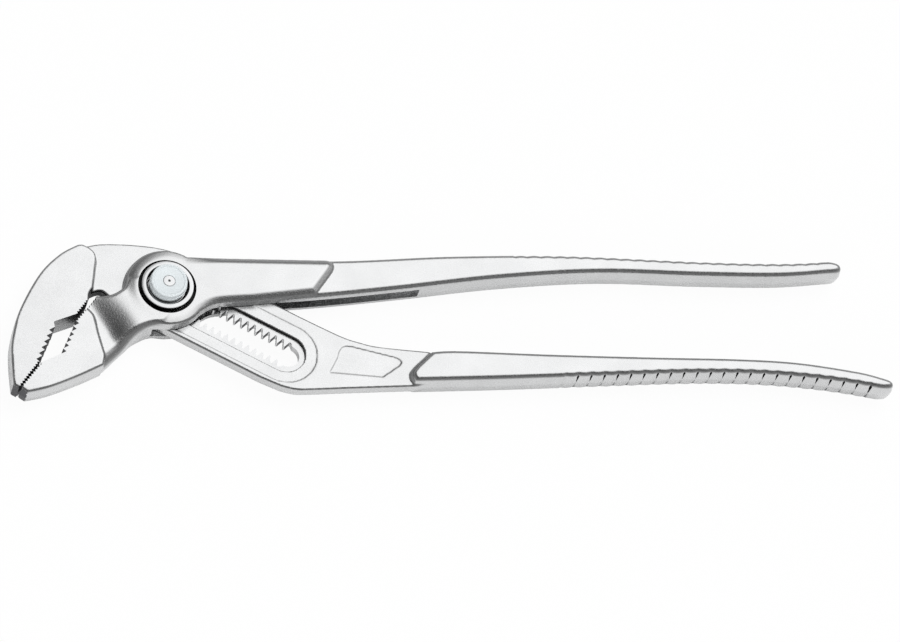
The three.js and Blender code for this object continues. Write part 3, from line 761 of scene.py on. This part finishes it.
def slotted_arm():
    """The arm with the outer jaw, the leg with the toothed slot, and the lower handle."""
    grid = grid_around(*SLOTTED_BOUNDS)
    body = handle_forging(grid, slotted_handle(), slotted_grip_edge(), SLOTTED_REACH)
    half = leg_half(grid, outline_distance(grid, slot_outline()), outline_distance(grid, leg_panel()))
    leg = forging(grid, outline_distance(grid, slotted_leg()), half, 0, LEG_EDGE)
    jaw = forging(grid, outline_distance(grid, slotted_jaw()), jaw_half(grid, 0), OUTER_JAW_DRAFT, JAW_EDGE)
    body = blend_min(blend_min(body, leg, LEG_BLEND), jaw, LEG_BLEND)
    arm = mesh_object("slotted_arm_forging", *skin(grid, body))
    slot_edge = LEG_HALF - LAND_DEPTH
    chamfer = prism(slot_outline(), slot_edge - SLOT_BREAK, slot_edge + SLOT_BREAK,
                    slot_outline(SLOT_HALF + 2 * SLOT_BREAK))
    return cut(arm, grip_cut(1, OUTER_POCKET), grip_notches(slotted_grip_edge()),
               prism(slot_outline(), LEDGE_Z, LEG_HALF + CUT), chamfer,
               prism(rack_slot(), -LEG_HALF - CUT, LEDGE_Z + CUT))


# Turned pieces

def bush():
    return turned("collar_bush", [
        (BUSH_BORE, SPIGOT_FOOT, EDGE_BREAK), (BUSH_SPIGOT, SPIGOT_FOOT, EDGE_BREAK),
        (BUSH_SPIGOT, COLLAR_FOOT, 0), (COLLAR_RADIUS, COLLAR_FOOT, EDGE_BREAK),
        (COLLAR_RADIUS, COLLAR_TOP - COLLAR_FALL, EDGE_SOFT), (BUSH_BORE, COLLAR_TOP, EDGE_SOFT)])


def button():
    bore = STUB_RADIUS + PRESS_GAP
    rim = BUTTON_RADIUS - BUTTON_RIM
    return turned("button_cap", [
        (bore, BUTTON_LOW, 0), (BUTTON_STEM, BUTTON_LOW, EDGE_BREAK),
        (BUTTON_STEM, FLANGE_LOW, 0), (FLANGE_RADIUS, FLANGE_LOW, EDGE_BREAK),
        (FLANGE_RADIUS, BUTTON_STEP, EDGE_BREAK), (BUTTON_RADIUS, BUTTON_STEP, EDGE_BREAK),
        (BUTTON_RADIUS, BUTTON_TOP, BUTTON_CORNER), (rim, BUTTON_TOP, EDGE_SOFT),
        (rim - DISH_DROP, BUTTON_TOP - DISH_DROP, EDGE_SOFT), (bore, BUTTON_TOP - BUTTON_DISH, 0)])


def bolt():
    """The bolt, with a journal at its rear, teeth that key into the rack, and a stub through the button."""
    key_low, stub_low = JOURNAL_TOP - RUNNING_GAP, HEAD_LOW - RUNNING_GAP
    key = prism(rack_outline(-KEY_REACH, KEY_REACH, RACK_HALF - RACK_CLEARANCE), key_low, KEY_TOP)
    combine(key, disc(JOURNAL_RADIUS, key_low, KEY_TOP), "INTERSECT")
    body = turned("bolt_body", [
        (0, JOURNAL_LOW, 0), (JOURNAL_RADIUS, JOURNAL_LOW, GUIDE_ROUND),
        (JOURNAL_RADIUS, JOURNAL_TOP, EDGE_SOFT), (BOLT_NECK, JOURNAL_TOP, 0),
        (BOLT_NECK, stub_low, 0), (STUB_RADIUS, stub_low, 0),
        (STUB_RADIUS, STUB_TOP, STUB_ROUND), (0, STUB_TOP, 0)])
    combine(body, key, "UNION")
    return cut(body, disc(SPRING_BORE, JOURNAL_LOW - CUT, SPRING_TOP + RUNNING_GAP),
               disc(PIP_RADIUS, STUB_TOP - PIP_DEPTH, STUB_TOP + CUT))


def head():
    bore = STUB_RADIUS + RUNNING_GAP
    return turned("guide_collar", [
        (bore, HEAD_LOW, EDGE_BREAK), (HEAD_RADIUS, HEAD_LOW, EDGE_FULL),
        (HEAD_RADIUS, HEAD_TOP, GUIDE_ROUND), (bore, HEAD_TOP, EDGE_BREAK)])


def cover():
    boss = RING_GROOVE - 2 * RUNNING_GAP - RING_WIDTH
    rim = REAR_BORE - RUNNING_GAP
    return turned("rear_cover", [
        (0, REAR_FACE, 0), (boss, REAR_FACE, EDGE_FULL), (boss, COVER_RIM, 0),
        (rim, COVER_RIM, EDGE_BREAK), (rim, COVER_TOP, EDGE_BREAK), (0, COVER_TOP, 0)])


def split_ring():
    outer = RING_GROOVE - RUNNING_GAP
    inner = outer - RING_WIDTH
    corners = [(inner, RING_LOW), (outer, RING_LOW), (outer, RING_HIGH), (inner, RING_HIGH)]
    ring = turned("snap_ring", [(*corner, EDGE_BREAK) for corner in corners])
    half = RING_SPLIT / 2
    return cut(ring, prism([(0, -half), (outer + CUT, -half), (outer + CUT, half), (0, half)],
                           RING_LOW - CUT, RING_HIGH + CUT))


def spring(turn_steps=40, sides=12):
    """One wound wire between the bolt and the cover."""
    wire = SPRING_WIRE / 2
    radius = SPRING_BORE - RUNNING_GAP - wire
    low, high = COVER_TOP + RUNNING_GAP + wire, SPRING_TOP - wire
    count = int(SPRING_TURNS * turn_steps)
    points = []
    for i in range(count + 1):
        angle = 2 * math.pi * i / turn_steps
        z = low + (high - low) * i / count
        for turn in np.arange(sides) * 2 * math.pi / sides:
            reach = radius + wire * math.cos(turn)
            points.append((reach * math.cos(angle), reach * math.sin(angle), z + wire * math.sin(turn)))
    last = count * sides
    faces = []
    for here in range(0, last, sides):
        for k in range(sides):
            after = (k + 1) % sides
            faces.append((here + k, here + sides + k, here + sides + after, here + after))
    faces += [tuple(range(sides)), tuple(range(last + sides - 1, last - 1, -1))]
    return mesh_object("coil_spring", points, faces)


# Materials: noise scales are per metre, bump depths in millimetres, and the painted shade on slopes goes by
# levelness

NOISE_BAND = (0.3, 0.7)
CLOUD_SCALE, CLOUD_DETAIL = 90, 4
GRAIN_DETAIL, GRAIN_DEPTH = 3, 0.05
BLAST_SCALE, BLAST_DETAIL, BLAST_DEPTH = 1700, 2, 0.15
MORE_POLISH, LESS_POLISH = 0.05, 0.07
FLAT_FROM, FLAT_TO = 0.97, 0.998
# Painted shade: greys by levelness that darken walls, rounded edges, bevels and hollows against ground flats,
# standing in for their darker reflections
SLOPE_PAINTED_SHADE = [(0.15, 0.8), (0.5, 0.32), (0.8, 0.36), (0.885, 0.6), (0.95, 0.38), (0.996, 1.0)]
PLASTIC_CLOUDS, PLASTIC_DETAIL = 150, 3
PLASTIC_GRAIN, PLASTIC_GRAIN_DETAIL = 4000, 2
PLASTIC_ROUGH = (0.25, 0.36)


def new_material(name):
    material = bpy.data.materials.new(name)
    material.use_nodes = True
    nodes = material.node_tree.nodes
    return material, nodes, material.node_tree.links, nodes["Principled BSDF"]


def noise(nodes, links, scale, detail, place):
    texture = nodes.new("ShaderNodeTexNoise")
    texture.inputs["Scale"].default_value = scale
    texture.inputs["Detail"].default_value = detail
    links.new(place, texture.inputs["Vector"])
    return texture.outputs["Fac"]


def remapped(nodes, links, value, source, target):
    """Takes a value from one range to another."""
    remap = nodes.new("ShaderNodeMapRange")
    remap.inputs["From Min"].default_value, remap.inputs["From Max"].default_value = source
    remap.inputs["To Min"].default_value, remap.inputs["To Max"].default_value = target
    links.new(value, remap.inputs["Value"])
    return remap.outputs["Result"]


def clouded(nodes, links, clouds, dark, light):
    """A colour that drifts between two by a noise value."""
    colour = nodes.new("ShaderNodeMix")
    colour.data_type = "RGBA"
    colour.inputs["A"].default_value = (*dark, 1)
    colour.inputs["B"].default_value = (*light, 1)
    links.new(remapped(nodes, links, clouds, NOISE_BAND, (0, 1)), colour.inputs["Factor"])
    return colour.outputs["Result"]


def shaded(nodes, links, colour, shade):
    """A colour darkened by a painted shade."""
    product = nodes.new("ShaderNodeMix")
    product.data_type = "RGBA"
    product.blend_type = "MULTIPLY"
    product.inputs["Factor"].default_value = 1.0
    links.new(colour, product.inputs["A"])
    links.new(shade, product.inputs["B"])
    return product.outputs["Result"]


def bumped(nodes, links, height, strength, depth, under=None):
    bump = nodes.new("ShaderNodeBump")
    bump.inputs["Distance"].default_value = depth * MM
    links.new(height, bump.inputs["Height"])
    if isinstance(strength, float):
        bump.inputs["Strength"].default_value = strength
    else:
        links.new(strength, bump.inputs["Strength"])
    if under:
        links.new(under, bump.inputs["Normal"])
    return bump.outputs["Normal"]


def levelness(nodes, links, normal):
    """How level the surface lies: 0 for a wall and 1 for a flat."""
    parts = nodes.new("ShaderNodeSeparateXYZ")
    links.new(normal, parts.inputs[0])
    size = nodes.new("ShaderNodeMath")
    size.operation = "ABSOLUTE"
    links.new(parts.outputs["Z"], size.inputs[0])
    return size.outputs[0]


def grey_ramp(nodes, links, value, stops):
    """A grey that follows a value through the given stops."""
    ramp = nodes.new("ShaderNodeValToRGB")
    while len(ramp.color_ramp.elements) < len(stops):
        ramp.color_ramp.elements.new(1.0)
    for element, (position, grey) in zip(ramp.color_ramp.elements, stops):
        element.position = position
        element.color = (grey, grey, grey, 1)
    links.new(value, ramp.inputs["Fac"])
    return ramp.outputs["Color"]


def metal(name, dark, light, rough, grain, grain_scale, blast_pits_and_painted_shade=0.0):
    """Metal with cloudy colour, uneven polish and a fine grain; its slopes can be pitted by blasting and
    carry a painted shade that darkens them by how level they lie.
    """
    material, nodes, links, shader = new_material(name)
    frame_of = nodes.new("ShaderNodeTexCoord")
    place = frame_of.outputs["Object"]
    shader.inputs["Metallic"].default_value = 1.0
    colour = clouded(nodes, links, noise(nodes, links, CLOUD_SCALE, CLOUD_DETAIL, place), dark, light)
    speckle = noise(nodes, links, grain_scale, GRAIN_DETAIL, place)
    polish = remapped(nodes, links, speckle, NOISE_BAND, (rough - MORE_POLISH, rough + LESS_POLISH))
    links.new(polish, shader.inputs["Roughness"])
    normal = bumped(nodes, links, speckle, grain, GRAIN_DEPTH)
    # Pits from blasting, and a painted shade that darkens the colour by how level the surface lies
    if blast_pits_and_painted_shade:
        level = levelness(nodes, links, frame_of.outputs["Normal"])
        colour = shaded(nodes, links, colour, grey_ramp(nodes, links, level, SLOPE_PAINTED_SHADE))
        strength = remapped(nodes, links, level, (FLAT_FROM, FLAT_TO), (blast_pits_and_painted_shade, 0.0))
        pits = noise(nodes, links, BLAST_SCALE, BLAST_DETAIL, place)
        normal = bumped(nodes, links, pits, strength, BLAST_DEPTH, normal)
    links.new(colour, shader.inputs["Base Color"])
    links.new(normal, shader.inputs["Normal"])
    return material


def plastic(name, dark, light):
    material, nodes, links, shader = new_material(name)
    place = nodes.new("ShaderNodeTexCoord").outputs["Object"]
    clouds = noise(nodes, links, PLASTIC_CLOUDS, PLASTIC_DETAIL, place)
    links.new(clouded(nodes, links, clouds, dark, light), shader.inputs["Base Color"])
    fine = noise(nodes, links, PLASTIC_GRAIN, PLASTIC_GRAIN_DETAIL, place)
    links.new(remapped(nodes, links, fine, NOISE_BAND, PLASTIC_ROUGH), shader.inputs["Roughness"])
    return material


FINISHES = {
    # Forged steel: pits from blasting, and painted shade on its slopes
    "forged_steel": metal("satin_chrome", (0.81, 0.815, 0.82), (0.87, 0.875, 0.88),
                          rough=0.25, grain=0.12, grain_scale=2600, blast_pits_and_painted_shade=0.4),
    "bright_steel": metal("bright_turned_steel", (0.78, 0.79, 0.8), (0.84, 0.845, 0.85),
                          rough=0.18, grain=0.08, grain_scale=4000),
    # Painted shadow: near black for gaps, bores and the slot's wall, where shade falls
    "gap_painted_shadow": metal("gap_painted_shadow", (0.02, 0.02, 0.02), (0.05, 0.05, 0.05),
                       rough=0.5, grain=0.2, grain_scale=3000),
    # Painted shade: dark steel for the teeth, the grip's upper notches and the rack's flanks
    "teeth_painted_shade": metal("teeth_painted_shade", (0.09, 0.09, 0.095), (0.14, 0.14, 0.145),
                            rough=0.36, grain=0.25, grain_scale=2200),
    "button_plastic": plastic("button_plastic", (0.71, 0.76, 0.78), (0.75, 0.8, 0.82)),
    "spring_steel": metal("oiled_spring_steel", (0.4, 0.41, 0.43), (0.5, 0.51, 0.53),
                          rough=0.34, grain=0.1, grain_scale=3000),
}


# Which faces get painted shade

def rings(*bounds):
    """Chooses faces in ring-shaped gaps above the mid-plane, which get a painted shadow: inner radius, outer
    radius and top.
    """
    def chosen(centres, _):
        reach, height = np.hypot(centres[:, 0], centres[:, 1]), centres[:, 2]
        return np.any([(inner < reach) & (reach < outer) & (0 < height) & (height < top)
                       for inner, outer, top in bounds], axis=0)
    return chosen


def gripping_faces(side):
    """Chooses a jaw's teeth and tip, near where the jaws meet, but not the pocket's plain wall, for a painted
    shade.
    """
    def chosen(centres, normals):
        place = centres[:, :2] - JAW_TIP
        along, off = place @ JAW_ALONG, place @ JAW_OFF
        near = (along < JAW_LENGTH + BARE_OVERRUN) & (np.abs(off) < BARE_WIDTH)
        plain = (side > 0) & (along > COARSE_END[0]) & (along < OUTER_POCKET[3])
        upright = np.abs(normals[:, 2]) < UPRIGHT
        return near & upright & ~plain & (side * (normals[:, :2] @ JAW_OFF) < UPRIGHT)
    return chosen


def notch_faces(reach):
    """Chooses the flanks of a grip's upper notches, which alone face along the handle there, for a painted
    shade.
    """
    def chosen(centres, normals):
        half_run = GRIP_COUNT * GRIP_PITCH / 2
        held = np.abs(centres[:, 0] - reach + half_run) < half_run
        return held & (centres[:, 2] > 0) & (np.abs(normals[:, 0]) > UPRIGHT)
    return chosen


def in_slot(centres, end, half_width):
    """Which places lie in the slot, up to an end along it and a half width across it."""
    along, across = centres[:, :2] @ slot_point(1, 0), np.abs(centres[:, :2] @ slot_point(0, 1))
    return (along > 0) & (along < end) & (across < half_width)


def rack_faces(centres, normals):
    """Chooses the flanks of the rack's teeth that face away from the joint, for a painted shade."""
    held = in_slot(centres, SLOT_REACH + SLOT_HALF, RACK_HALF + RACK_DEPTH + RACK_CLEARANCE)
    return held & (centres[:, 2] < LEDGE_Z) & (normals[:, :2] @ slot_point(1, 0) > FLANK)


def slot_wall(centres, normals):
    """Chooses the wall above the slot's ledge, which gets a painted shadow."""
    held = in_slot(centres, SLOT_REACH + SLOT_HALF + CUT, SLOT_HALF + SLOT_BREAK)
    return held & (centres[:, 2] > LEDGE_Z) & (np.abs(normals[:, 2]) < UPRIGHT)


def paint(mesh, finish, patches):
    """Gives a mesh its finish, and each patch's finish to the faces that the patch chooses."""
    mesh.materials.clear()
    mesh.materials.append(FINISHES[finish])
    centres, normals = (np.empty(3 * len(mesh.polygons)) for _ in range(2))
    mesh.polygons.foreach_get("center", centres)
    mesh.polygons.foreach_get("normal", normals)
    centres = centres.reshape(-1, 3) / MM - (0, 0, MID_PLANE)
    number = np.zeros(len(mesh.polygons), np.int32)
    for patch, chosen in patches:
        number[chosen(centres, normals.reshape(-1, 3))] = len(mesh.materials)
        mesh.materials.append(FINISHES[patch])
    mesh.polygons.foreach_set("material_index", number)


def dress(piece, node, body, finish, *patches):
    """Smooths, paints and attaches a piece in place of a CAD node; patches are finishes and their faces."""
    piece.data.shade_smooth()
    piece.data.set_sharp_from_angle(angle=SHARP_ANGLE)
    paint(piece.data, finish, patches)
    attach(piece, body)
    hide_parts(node)
    return piece


# Painted shadow goes into the groove round the collar and onto the wall above the slot's ledge, and painted
# shade onto teeth, notches and the rack
dress(fork_arm(), "fork_arm", "fork_arm", "forged_steel", ("teeth_painted_shade", gripping_faces(-1)),
      ("teeth_painted_shade", notch_faces(FORK_REACH - GRIP_END)),
      ("gap_painted_shadow", rings((BUSH_SPIGOT, GROOVE_RADIUS + PAINT_MARGIN, PLATEAU_HALF - PLATEAU_LIP))))
dress(slotted_arm(), "slotted_arm", "slotted_arm", "forged_steel", ("teeth_painted_shade", gripping_faces(1)),
      ("teeth_painted_shade", notch_faces(SLOTTED_REACH - GRIP_END)), ("teeth_painted_shade", rack_faces),
      ("gap_painted_shadow", slot_wall))
# Painted shadow in the bush's bore and round its collar
dress(bush(), "front_bush", "fork_arm", "bright_steel",
      ("gap_painted_shadow", rings((0, BUSH_BORE + PAINT_MARGIN, COLLAR_TOP - BORE_LIP),
                          (COLLAR_RADIUS - PAINT_MARGIN, GROOVE_RADIUS, COLLAR_TOP - COLLAR_LIP))))
dress(split_ring(), "retaining_ring", "fork_arm", "spring_steel")
dress(button(), "push_button", "lock_bolt", "button_plastic")
dress(bolt(), "locking_bolt", "lock_bolt", "bright_steel")
dress(head(), "guide_head", "lock_bolt", "bright_steel")
dress(cover(), "cover_disc", "pivot_core", "bright_steel")
coil = dress(spring(), "return_spring", "pivot_core", "spring_steel")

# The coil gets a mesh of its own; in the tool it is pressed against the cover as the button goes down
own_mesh(coil)


# Studio: camera, floor and light

FOCAL_PIXELS = 6500
IMAGE_WIDTH = 900
SENSOR = 36.0
CAMERA_PLACE = np.array((-296.395, -1013.878, 1961.640))
CAMERA_RIGHT = (0.98020, 0.0, 0.198)
CAMERA_UP = (-0.08949, 0.89204, 0.443)
CAMERA_BACK = (-0.17662, -0.45195, 0.87438)
FLOOR_HALF = 4.0
PAPER = 0.9
FLOOR_WHITE = 0.95
FLOOR_MIRRORED = 0.2
SKY_BASE = 0.16

# Panels of light: the way to each, the angles where it starts to fade and is gone, and its strength
SOFT_BOX = ((0.35, 0.32, 0.88), 22, 34, 1.22)
BACKDROP = ((0, 0, -1), 118, 150, 0.5)

# Lamps: the way to each, its size in metres and its power
LAMPS = [((0.25, 0.1, 0.96), 1.8, 28), ((-0.3, -0.8, 0.5), 1.5, 14)]
LAMP_DISTANCE = 2.4


def add_camera():
    data = bpy.data.cameras.new("camera")
    data.sensor_width = SENSOR
    data.lens = FOCAL_PIXELS / IMAGE_WIDTH * SENSOR
    camera = bpy.data.objects.new("camera", data)
    bpy.context.scene.collection.objects.link(camera)
    turn = Matrix((CAMERA_RIGHT, CAMERA_UP, CAMERA_BACK)).transposed().to_4x4()
    place = (CAMERA_PLACE + (0, 0, MID_PLANE)) * MM
    camera.matrix_world = Matrix.Translation(place) @ turn
    bpy.context.scene.camera = camera


def floor_material():
    """Paper that the camera sees as nearly white, with a faint shadow, and that metal mirrors faintly."""
    material = bpy.data.materials.new("pale_floor")
    material.use_nodes = True
    nodes, links = material.node_tree.nodes, material.node_tree.links
    nodes.clear()
    paper = nodes.new("ShaderNodeBsdfDiffuse")
    paper.inputs["Color"].default_value = (PAPER, PAPER, PAPER, 1)
    white = nodes.new("ShaderNodeEmission")
    ray = nodes.new("ShaderNodeLightPath").outputs
    seen = nodes.new("ShaderNodeMath")
    seen.operation = "MULTIPLY"
    seen.inputs[1].default_value = FLOOR_WHITE
    links.new(ray["Is Camera Ray"], seen.inputs[0])
    share = nodes.new("ShaderNodeMath")
    share.operation = "MULTIPLY_ADD"
    share.inputs[1].default_value = FLOOR_MIRRORED
    links.new(ray["Is Glossy Ray"], share.inputs[0])
    links.new(seen.outputs[0], share.inputs[2])
    mix = nodes.new("ShaderNodeMixShader")
    links.new(share.outputs[0], mix.inputs[0])
    links.new(paper.outputs[0], mix.inputs[1])
    links.new(white.outputs[0], mix.inputs[2])
    links.new(mix.outputs[0], nodes.new("ShaderNodeOutputMaterial").inputs["Surface"])
    return material


def add_floor():
    mesh = bpy.data.meshes.new("floor")
    corners = [(-FLOOR_HALF, -FLOOR_HALF), (FLOOR_HALF, -FLOOR_HALF),
               (FLOOR_HALF, FLOOR_HALF), (-FLOOR_HALF, FLOOR_HALF)]
    mesh.from_pydata([(*corner, 0) for corner in corners], [], [(0, 1, 2, 3)])
    floor = bpy.data.objects.new("floor", mesh)
    bpy.context.scene.collection.objects.link(floor)
    mesh.materials.append(floor_material())


def lobe(nodes, links, way, centre, full, gone, strength):
    """Light from round one direction, full within the first angle and gone by the second, in degrees."""
    lean = nodes.new("ShaderNodeVectorMath")
    lean.operation = "DOT_PRODUCT"
    lean.inputs[1].default_value = Vector(centre).normalized()
    links.new(way, lean.inputs[0])
    ramp = nodes.new("ShaderNodeMapRange")
    ramp.interpolation_type = "SMOOTHSTEP"
    ramp.inputs["From Min"].default_value = math.cos(math.radians(gone))
    ramp.inputs["From Max"].default_value = math.cos(math.radians(full))
    ramp.inputs["To Max"].default_value = strength
    links.new(lean.outputs["Value"], ramp.inputs["Value"])
    return ramp.outputs["Result"]


def add_world():
    """A soft box above, a pale band round the horizon, and white where the camera looks past the floor."""
    world = bpy.data.worlds.new("studio")
    bpy.context.scene.world = world
    world.use_nodes = True
    nodes, links = world.node_tree.nodes, world.node_tree.links
    nodes.clear()
    way = nodes.new("ShaderNodeTexCoord").outputs["Generated"]
    total = None
    for panel in (SOFT_BOX, BACKDROP):
        add = nodes.new("ShaderNodeMath")
        links.new(lobe(nodes, links, way, *panel), add.inputs[0])
        add.inputs[1].default_value = SKY_BASE
        if total:
            links.new(total, add.inputs[1])
        total = add.outputs[0]
    glow = nodes.new("ShaderNodeBackground")
    links.new(total, glow.inputs["Strength"])
    white = nodes.new("ShaderNodeBackground")
    mix = nodes.new("ShaderNodeMixShader")
    links.new(nodes.new("ShaderNodeLightPath").outputs["Is Camera Ray"], mix.inputs[0])
    links.new(glow.outputs[0], mix.inputs[1])
    links.new(white.outputs[0], mix.inputs[2])
    links.new(mix.outputs[0], nodes.new("ShaderNodeOutputWorld").inputs["Surface"])


def add_lamp(towards_lamp, size, power):
    """A soft lamp that lights the floor and the plastic; the metal mirrors the sky instead."""
    data = bpy.data.lights.new("soft_lamp", "AREA")
    data.shape = "DISK"
    data.size = size
    data.energy = power
    lamp = bpy.data.objects.new("soft_lamp", data)
    way = Vector(towards_lamp).normalized()
    lamp.location = way * LAMP_DISTANCE
    lamp.rotation_euler = way.to_track_quat("Z", "Y").to_euler()
    lamp.visible_glossy = False
    bpy.context.scene.collection.objects.link(lamp)


add_camera()
add_floor()
add_world()
for lamp in LAMPS:
    add_lamp(*lamp)
bpy.context.scene.view_settings.view_transform = "Standard"
